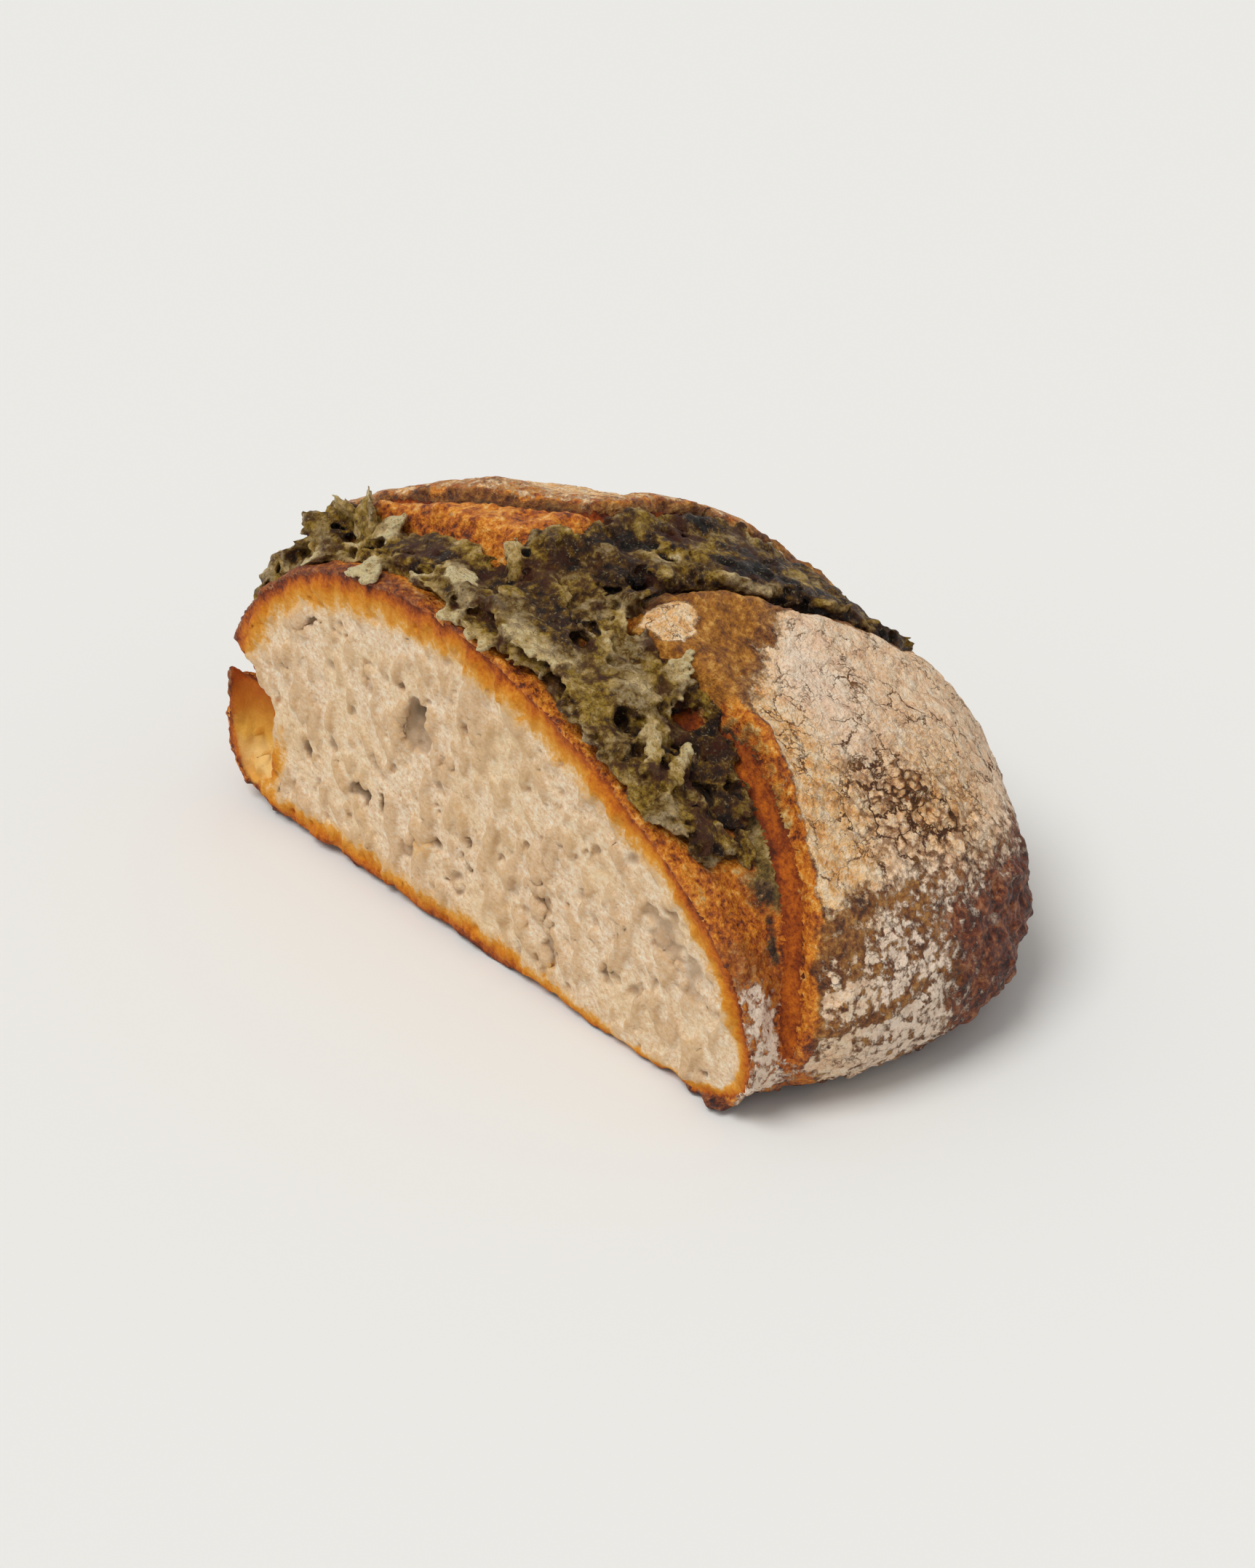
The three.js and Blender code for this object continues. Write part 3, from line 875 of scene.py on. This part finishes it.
def node(tree, kind, *inputs, give=0, stops=(), **named):
    """Adds a node and gives one of its outputs.

    Inputs fill its sockets in order, each with a number, a colour or another output. A named value is a
    socket's where the name starts with a capital, and otherwise the node's own setting. Stops are a ramp's
    places and colours.
    """
    made = tree.nodes.new("ShaderNode" + kind)
    for name, value in named.items():
        if name[0].islower():
            setattr(made, name, value)
    sockets = [socket for socket in made.inputs if socket.enabled]
    filled = list(zip(sockets, inputs))
    for name, value in named.items():
        if name[0].isupper():
            filled.append((made.inputs[name.replace("_", " ")], value))
    for socket, value in filled:
        if isinstance(value, bpy.types.NodeSocket):
            tree.links.new(value, socket)
        else:
            socket.default_value = linear(value) if isinstance(value, str) else value
    for place, colour in stops[2:]:
        made.color_ramp.elements.new(place)
    for element, (place, colour) in zip(made.color_ramp.elements if stops else (), stops):
        element.position = place
        element.color = linear(colour)
    outputs = [output for output in made.outputs if output.enabled]
    return made.outputs[give] if isinstance(give, str) else outputs[give]


def material(build):
    """A material named for its function, which is handed the way to add its nodes and gives its surface."""
    made = bpy.data.materials.new(build.__name__)
    made.use_nodes = True
    made.node_tree.nodes.clear()
    output = made.node_tree.nodes.new("ShaderNodeOutputMaterial")
    made.node_tree.links.new(build(partial(node, made.node_tree)), output.inputs["Surface"])
    return made


def grain(add, size, detail=4.0, rough=0.6, stretch=(1.0, 1.0, 1.0), turn=0.0):
    """Cloudy noise from 0 to 1, with lumps of a size in millimetres.

    It is turned in the cut's plane by radians and then scaled along each axis.
    """
    place = add("Mapping", add("TexCoord", give="Object"), Rotation=(0.0, turn, 0.0))
    place = add("Mapping", place, Scale=stretch)
    return add("TexNoise", place, Scale=PER_METRE / size, Detail=detail, Roughness=rough)


def wandered(add, size, wander):
    """Places on the object, each pushed up to so many millimetres aside, in lumps of a size."""
    place = add("TexCoord", give="Object")
    shift = add("TexNoise", place, give="Color", Scale=PER_METRE / size, Detail=4.0, Roughness=0.62)
    shift = add("VectorMath", shift, (0.5, 0.5, 0.5), operation="SUBTRACT")
    shift = add("VectorMath", shift, operation="SCALE", Scale=2 * wander * METRES)
    return add("VectorMath", place, shift, operation="ADD")


def plates(add, size, wander):
    """Distance in millimetres from the nearest crack in a skin that dried into plates of a size."""
    place = wandered(add, 0.6 * size, wander)
    edge = add("TexVoronoi", place, give="Distance", feature="DISTANCE_TO_EDGE", Scale=PER_METRE / size)
    return add("Math", edge, float(size), operation="MULTIPLY")


def clumps(add, size, wander):
    """Distance from the middle of the nearest clump of a size, from 0 to about 0.6 midway to the next."""
    return add("TexVoronoi", wandered(add, size, wander), give="Distance", Scale=PER_METRE / size)


def browned_skin(add, mottle, tint):
    """The colour of crust without flour: tanned, with each finish where its mask lies."""
    finishes = {
        "bare": (
            (0.36, "#562004"), (0.44, "#a24c04"), (0.52, "#cc700a"), (0.60, "#e89424"), (0.70, "#f8c478"),
        ),
        "gold": ((0.34, "#643208"), (0.45, "#8e540c"), (0.55, "#b27016"), (0.66, "#d8a04c")),
        "rust": ((0.36, "#280e06"), (0.46, "#54200e"), (0.55, "#84401a"), (0.67, "#b07448")),
        "moss": ((0.36, "#3c2c0a"), (0.48, "#7a5f24"), (0.58, "#a08448"), (0.70, "#cbb07c")),
        # The char mask also paints the shadow under the left ear's lip.
        "char_and_lip_shadow": ((0.38, "#120a06"), (0.50, "#33200f"), (0.60, "#5c4020"), (0.72, "#8a6a48")),
    }
    tanned = ((0.36, "#42200a"), (0.46, "#784214"), (0.56, "#a06828"), (0.68, "#c8924c"))
    colour = add("ValToRGB", tint, stops=tanned)
    patches = add("Math", mottle, 1.4, -0.7, operation="MULTIPLY_ADD")
    for name, stops in finishes.items():
        share = add("Math", add("Attribute", give="Fac", attribute_name=name), patches)
        share = add("MapRange", share, 0.25, 0.65)
        colour = add("Mix", share, colour, add("ValToRGB", tint, stops=stops), data_type="RGBA")
    return colour


def crackled_flour(add, broken):
    """Where dried flour cracked, from 0 to 1, and how far it puffs up between the cracks.

    Wide cracks part it into plates of 8 mm and fine ones into plates of 3.4 mm, where they opened.
    """
    split = add("Attribute", give="Fac", attribute_name="split")
    opening = add("Math", grain(add, 14, 5), 1.7, -0.93, operation="MULTIPLY_ADD")
    opening = add("Math", broken, 0.20, opening, operation="MULTIPLY_ADD")
    wide = add("Math", plates(add, 8.0, 4.5), opening, operation="SUBTRACT")
    fine = add("Math", grain(add, 10, 4), 1.7, -1.02, operation="MULTIPLY_ADD")
    fine = add("Math", plates(add, 3.4, 2.2), fine, operation="SUBTRACT")
    crack = add("MapRange", wide, -0.05, 0.22, 1.0, 0.0)
    crack = add("Math", crack, add("MapRange", fine, -0.05, 0.18, 0.7, 0.0), operation="MAXIMUM")
    crack = add("Math", crack, add("MapRange", split, -0.1, 0.2, 1.0, 0.0), operation="MAXIMUM")
    puffs = add("MapRange", wide, 0.0, 1.8, interpolation_type="SMOOTHSTEP")
    puffs = add("Math", puffs, add("MapRange", fine, 0.0, 1.1, 0.0, 0.7), operation="ADD")
    return crack, puffs


def flour_colour(add, speck, lift, crevice_shade):
    """The colour of flour: wheaten to white and gritty, with painted shade where it sank and in the crevices
    between its clumps.
    """
    wheaten = ((0.34, "#dc9650"), (0.44, "#f8bc74"), (0.54, "#ffd6a0"), (0.66, "#ffe8c4"))
    white = add("Attribute", give="Fac", attribute_name="white")
    floury = add("ValToRGB", grain(add, 4, 6, 0.7), stops=wheaten)
    floury = add("Mix", add("Math", white, 0.8, operation="MULTIPLY"), floury, "#ffead6", data_type="RGBA")
    floury = add("Mix", add("MapRange", speck, 0.34, 0.46, 0.3, 0.0), floury, "#b07844", data_type="RGBA")
    floury = add("Mix", add("MapRange", speck, 0.53, 0.64, 0.0, 0.5), floury, "#ffeedc", data_type="RGBA")
    # Browner where the flour's skin sank: painted shade in its hollows.
    floury = add("Mix", add("MapRange", lift, -0.15, -0.6, 0.0, 0.6), floury, "#945a2c", data_type="RGBA")
    return add("Mix", crevice_shade, floury, "#8a5226", data_type="RGBA")


def baked_crust(add):
    """Oven-browned crust: matt and blistered, caramel where it burst and white where the basket dusted it."""
    mottle = grain(add, 4.5, 5, 0.65)  # blisters
    fine_grain = grain(add, 1.5, 5, 0.7)  # grain of the baked skin
    speck = grain(add, 0.8, 3, 0.6)  # bran and grit, which is nearer 0.3 mm, drawn coarser to show
    flour = add("Attribute", give="Fac", attribute_name="flour")
    lift = add("Attribute", give="Fac", attribute_name="height")
    broken = add("Attribute", give="Fac", attribute_name="broken")
    lumpy = add("Attribute", give="Fac", attribute_name="lumpy")
    tint = add("Math", add("Math", fine_grain, mottle), 0.725, -0.215, operation="MULTIPLY_ADD")
    colour = browned_skin(add, mottle, tint)
    crack, puffs = crackled_flour(add, broken)

    # Flour stands in clumps of 2 mm, and the bare crust shows between them where it lies thin.
    clump = clumps(add, 2.1, 2.2)
    patchy = add("Math", grain(add, 2.4, 6, 0.8), 1.9, -0.95, operation="MULTIPLY_ADD")
    thick = add("MapRange", clump, 0.1, 0.9, 0.45, -0.42)
    thick = add("Math", thick, lumpy, patchy, operation="MULTIPLY_ADD")
    dust = add("Math", lift, 0.3, add("Math", flour, thick), operation="MULTIPLY_ADD")
    dust = add("MapRange", dust, 0.25, 0.52)
    # Browner in the crevices between clumps where the flour crumbled: painted shade.
    crevice_shade = add("Math", add("MapRange", clump, 0.45, 0.75), broken, operation="MULTIPLY")
    floury = flour_colour(add, speck, lift, crevice_shade)
    dusted = add("MapRange", flour, 0.45, 0.85)
    crack = add("Math", crack, dusted, operation="MULTIPLY")
    seen = add("Math", dust, add("Math", 1.0, crack, operation="SUBTRACT"), operation="MULTIPLY")
    colour = add("Mix", seen, colour, floury, data_type="RGBA")
    gap = add("Mix", add("MapRange", broken, 0.0, 0.8), "#643a1c", "#40200c", data_type="RGBA")
    colour = add("Mix", add("Math", crack, 0.8, operation="MULTIPLY"), colour, gap, data_type="RGBA")

    height = add("Math", puffs, dusted, operation="MULTIPLY")
    height = add("Math", height, 0.55, fine_grain, operation="MULTIPLY_ADD")
    clumped = add("Math", clump, flour, operation="MULTIPLY")
    height = add("Math", clumped, -0.5, height, operation="MULTIPLY_ADD")
    height = add("Math", seen, 0.35, height, operation="MULTIPLY_ADD")
    height = add("Math", speck, 0.6, height, operation="MULTIPLY_ADD")
    height = add("Math", mottle, 1.2, height, operation="MULTIPLY_ADD")
    return add(
        "BsdfPrincipled", colour, Roughness=add("MapRange", dust, 0.0, 1.0, 0.48, 0.95), IOR=1.45,
        Normal=add("Bump", Height=height, Distance=0.0013, Strength=0.9),
    )


def sourdough_crumb(add):
    """Sliced sourdough: cream and fibrous, honey-brown in the burst pocket, toasted towards the crust, with
    painted shade deep in its bubbles and dents.
    """
    cloud = grain(add, 20, 3)  # moister and drier crumb
    blotch = grain(add, 5, 4, 0.6, (1.0, 1.0, 0.7))  # tall soft cells
    fibre = grain(add, 1.0, 6, 0.76, (0.8, 1.0, 1.0), -0.3)  # cell walls of 0.3 mm, drawn coarser to show
    dent_shade = add("Attribute", give="Fac", attribute_name="dent_shade")
    bubble_shade_depth = add("Attribute", give="Fac", attribute_name="bubble_shade_depth")
    toast = add("Attribute", give="Fac", attribute_name="toast")
    pocket = add("Attribute", give="Fac", attribute_name="pocket")
    cream = ((0.32, "#cea476"), (0.42, "#eac69e"), (0.54, "#fae0be"), (0.66, "#fff6e2"))
    colour = add("ValToRGB", fibre, stops=cream)
    colour = add("Mix", add("MapRange", cloud, 0.44, 0.66, 0.0, 0.35), colour, "#f0cc90", data_type="RGBA")
    colour = add("Mix", add("MapRange", blotch, 0.54, 0.68, 0.0, 0.4), colour, "#cfa36c", data_type="RGBA")
    # Tan in the crumb's dents: painted shade.
    colour = add("Mix", add("MapRange", dent_shade, 0.15, 0.7, 0.0, 0.5), colour, "#cfa26c", data_type="RGBA")
    # Greyer and then dark further behind the cut, in the bubbles: painted shade.
    bubble_shade_depth = add("Math", fibre, 0.8, add("Math", bubble_shade_depth, -0.4), operation="MULTIPLY_ADD")
    colour = add("Mix", add("MapRange", bubble_shade_depth, 0.4, 1.4, 0.0, 0.65), colour, "#b89a7c", data_type="RGBA")
    colour = add("Mix", add("MapRange", bubble_shade_depth, 1.8, 5.0, 0.0, 0.95), colour, "#4a3826", data_type="RGBA")

    toast = add("Math", fibre, 0.9, add("Math", toast, -0.95), operation="MULTIPLY_ADD")
    toast = add("Math", toast, blotch, operation="ADD")
    baked = (
        (0.0, "#481804"), (0.20, "#8c3a05"), (0.42, "#c4640a"),
        (0.66, "#dc8a18"), (0.88, "#e8a440"), (1.0, "#ecb870"),
    )
    edge = add("ValToRGB", toast, stops=baked)
    colour = add("Mix", add("MapRange", toast, 0.90, 1.30, 1.0, 0.0), colour, edge, data_type="RGBA")
    up = add("SeparateXYZ", add("TexCoord", give="Object"), give="Z")
    up = add("Math", blotch, 0.010, add("Math", up, -0.005), operation="MULTIPLY_ADD")
    honey = (
        (0.0, "#e8a848"), (0.16, "#f8cc80"), (0.36, "#e8ac44"),
        (0.56, "#cc7c1c"), (0.76, "#bc5806"), (1.0, "#a84400"),
    )
    honey = add("ValToRGB", add("MapRange", up, 0.006, 0.042), stops=honey)
    colour = add("Mix", pocket, colour, honey, data_type="RGBA")
    height = add("Math", grain(add, 0.8, 4, 0.65), 0.5, fibre, operation="MULTIPLY_ADD")
    return add(
        "BsdfPrincipled", colour, Roughness=0.8, IOR=1.4,
        Normal=add("Bump", Height=height, Distance=0.0009, Strength=0.8),
        Subsurface_Weight=0.12, Subsurface_Radius=(0.004, 0.002, 0.001), Subsurface_Scale=0.6,
    )


def melted_herb_cheese(add):
    """Grated cheese melted over chopped herbs: greasy, grainy, from burnt and olive to grey and dry cream,
    with painted shade in its hollows and painted glints on its grains.
    """
    # Grains of salt and curd, whose palest specks are painted glints.
    grains_and_glints = grain(add, 0.8, 4, 0.75)  # salt and curd
    herbs = grain(add, 2.6, 6, 0.78)  # chopped leaves
    clouds = grain(add, 9, 5, 0.65)  # where it melted thick or thin
    pulp = clumps(add, 1.9, 1.5)  # curds that stayed apart
    kept = add("Attribute", give="Fac", attribute_name="tone")
    relief_shade = add("Attribute", give="Fac", attribute_name="relief_shade")
    tone = add("Math", clouds, 1.2, add("Math", kept, -0.63), operation="MULTIPLY_ADD")
    tone = add("Math", herbs, 0.95, add("Math", tone, -0.475), operation="MULTIPLY_ADD")
    tone = add("Math", tone, add("MapRange", pulp, 0.2, 0.8, 0.08, -0.12))
    # Paler where it stands out and darker in its hollows: painted light and shade.
    tone = add("Math", tone, add("MapRange", relief_shade, -0.8, 0.8, -0.18, 0.18))
    herby = (
        (0.0, "#100702"), (0.14, "#321805"), (0.28, "#5c3a0a"), (0.40, "#8e6814"),
        (0.52, "#b8922c"), (0.64, "#d4ae64"), (0.78, "#f0cc88"), (0.92, "#ffe8b0"),
    )
    colour = add("ValToRGB", tone, stops=herby)
    film = add("MapRange", grain(add, 10, 4, 0.5), 0.48, 0.58)
    film = add("Math", film, add("MapRange", tone, 0.36, 0.55), operation="MULTIPLY")
    film = add("Math", film, add("MapRange", tone, 0.66, 0.84, 0.42, 0.0), operation="MULTIPLY")
    colour = add("Mix", film, colour, "#a29890", data_type="RGBA")
    colour = add("Mix", add("MapRange", grains_and_glints, 0.32, 0.46, 0.8, 0.0), colour, "#2c1e08", data_type="RGBA")
    # Pale specks: painted glints.
    colour = add("Mix", add("MapRange", grains_and_glints, 0.58, 0.66, 0.0, 0.55), colour, "#e2d09c", data_type="RGBA")
    browned = add("MapRange", grain(add, 11, 5, 0.7), 0.52, 0.61, 0.0, 0.85)
    browned = add("Math", browned, add("MapRange", kept, 0.55, 0.75, 1.0, 0.0), operation="MULTIPLY")
    colour = add("Mix", browned, colour, "#4e2006", data_type="RGBA")
    height = add("Math", herbs, 1.6, grains_and_glints, operation="MULTIPLY_ADD")
    height = add("Math", pulp, -0.8, height, operation="MULTIPLY_ADD")
    return add(
        "BsdfPrincipled", colour, Roughness=add("MapRange", clouds, 0.35, 0.65, 0.34, 0.58), IOR=1.45,
        Normal=add("Bump", Height=height, Distance=0.0014, Strength=1.0),
        Subsurface_Weight=0.08, Subsurface_Radius=(0.003, 0.002, 0.001), Subsurface_Scale=0.5,
    )


def matt_paper(add):
    """Seamless studio paper: even, pale and without gloss."""
    return add("BsdfPrincipled", "#e2e1dd", Roughness=0.95)


# ---------------------------------------------------------------- putting it together

def add_loaf(body, dome, cheese):
    """Makes the loaf's piece and fastens it to the frame's. Cheese gives its distance from any points."""
    points, faces = largest_part(*skin(body, fine))
    loaf = add_mesh("sourdough_loaf", points, faces)
    finish_loaf(loaf, dome, cheese)
    thin_out(loaf, LOAF_FACES)
    loaf.data.materials.append(material(baked_crust))
    loaf.data.materials.append(material(sourdough_crumb))
    part_crust_from_crumb(loaf)
    smooth(loaf)
    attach(loaf, "root")
    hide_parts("loaf")


def add_cheese(grid, field, tones):
    """Makes the cheese's piece and fastens it to the frame's."""
    points, faces = largest_part(*skin(field, grid))
    cheese = add_mesh("herb_cheese", points, faces)
    tone_cheese(cheese, grid, field, tones)
    thin_out(cheese, CHEESE_FACES)
    cheese.data.materials.append(material(melted_herb_cheese))
    smooth(cheese)
    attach(cheese, "root")
    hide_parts("herb_cheese_topping")


def smooth(piece):
    """Shades a piece without facets."""
    piece.data.polygons.foreach_set("use_smooth", np.ones(len(piece.data.polygons), bool))


dome = dome_distances()
body = make_loaf(dome)
cheese_grid, cheese_field, cheese_tones = make_cheese(dome, body)
add_loaf(body, dome, lambda points: sample(cheese_field, cheese_grid, points))
add_cheese(cheese_grid, cheese_field, cheese_tones)

# ---------------------------------------------------------------- floor, light and camera

CAMERA_TURN = math.radians(48.1)  # round from square on to the cut
CAMERA_RISE = math.radians(31.8)
CAMERA_AIM = np.array((7.3, 40.8, 35.2))  # in plan, millimetres
CAMERA_AWAY = 740.3  # millimetres
LENS = 70.0  # millimetres
FULL_FRAME = 36.0  # width of the film behind the lens, millimetres
FLOOR_HALF = 4  # metres
KEY_FROM = (-0.08, -0.52, 1.0)
KEY_LIGHT = 1.80
KEY_SPREAD = 32.0  # degrees across, as a large soft box spreads
STUDIO_LIGHT = 0.58


def make_camera():
    """A long lens on a full frame that looks down on the cut from its right."""
    level = math.cos(CAMERA_RISE)
    back = Vector((math.sin(CAMERA_TURN) * level, -math.cos(CAMERA_TURN) * level, math.sin(CAMERA_RISE)))
    data = bpy.data.cameras.new("camera")
    data.lens = LENS
    data.sensor_width = FULL_FRAME
    data.clip_end = 20.0
    camera = add_object("camera", data)
    camera.location = Vector((CAMERA_AIM + MIDDLE) * METRES) + back * CAMERA_AWAY * METRES
    camera.rotation_euler = back.to_track_quat("Z", "Y").to_euler()
    bpy.context.scene.camera = camera


def make_floor():
    """A plain pale floor under the loaf, which belongs to the stage and not to the part."""
    mesh = bpy.data.meshes.new("floor")
    corners = [(x * FLOOR_HALF, y * FLOOR_HALF, 0) for x, y in ((-1, -1), (1, -1), (1, 1), (-1, 1))]
    mesh.from_pydata(corners, [], [(0, 1, 2, 3)])
    floor = add_object("floor", mesh)
    floor.data.materials.append(material(matt_paper))


def add_lamp(name, origin, strength, spread):
    """A far lamp that shines from a direction, as soft as its spread in degrees."""
    data = bpy.data.lights.new(name, "SUN")
    data.angle = math.radians(spread)
    data.energy = strength
    lamp = add_object(name, data)
    lamp.rotation_euler = Vector(origin).to_track_quat("Z", "Y").to_euler()


def make_light():
    """A broad soft key from above and an even white studio round it."""
    add_lamp("soft_key", KEY_FROM, KEY_LIGHT, KEY_SPREAD)
    world = bpy.data.worlds.new("white_studio")
    world.use_nodes = True
    background = world.node_tree.nodes["Background"]
    background.inputs["Color"].default_value = linear("#ffffff")
    background.inputs["Strength"].default_value = STUDIO_LIGHT
    bpy.context.scene.world = world
    bpy.context.scene.view_settings.view_transform = "Standard"
    bpy.context.scene.view_settings.look = "None"


make_camera()
make_floor()
make_light()
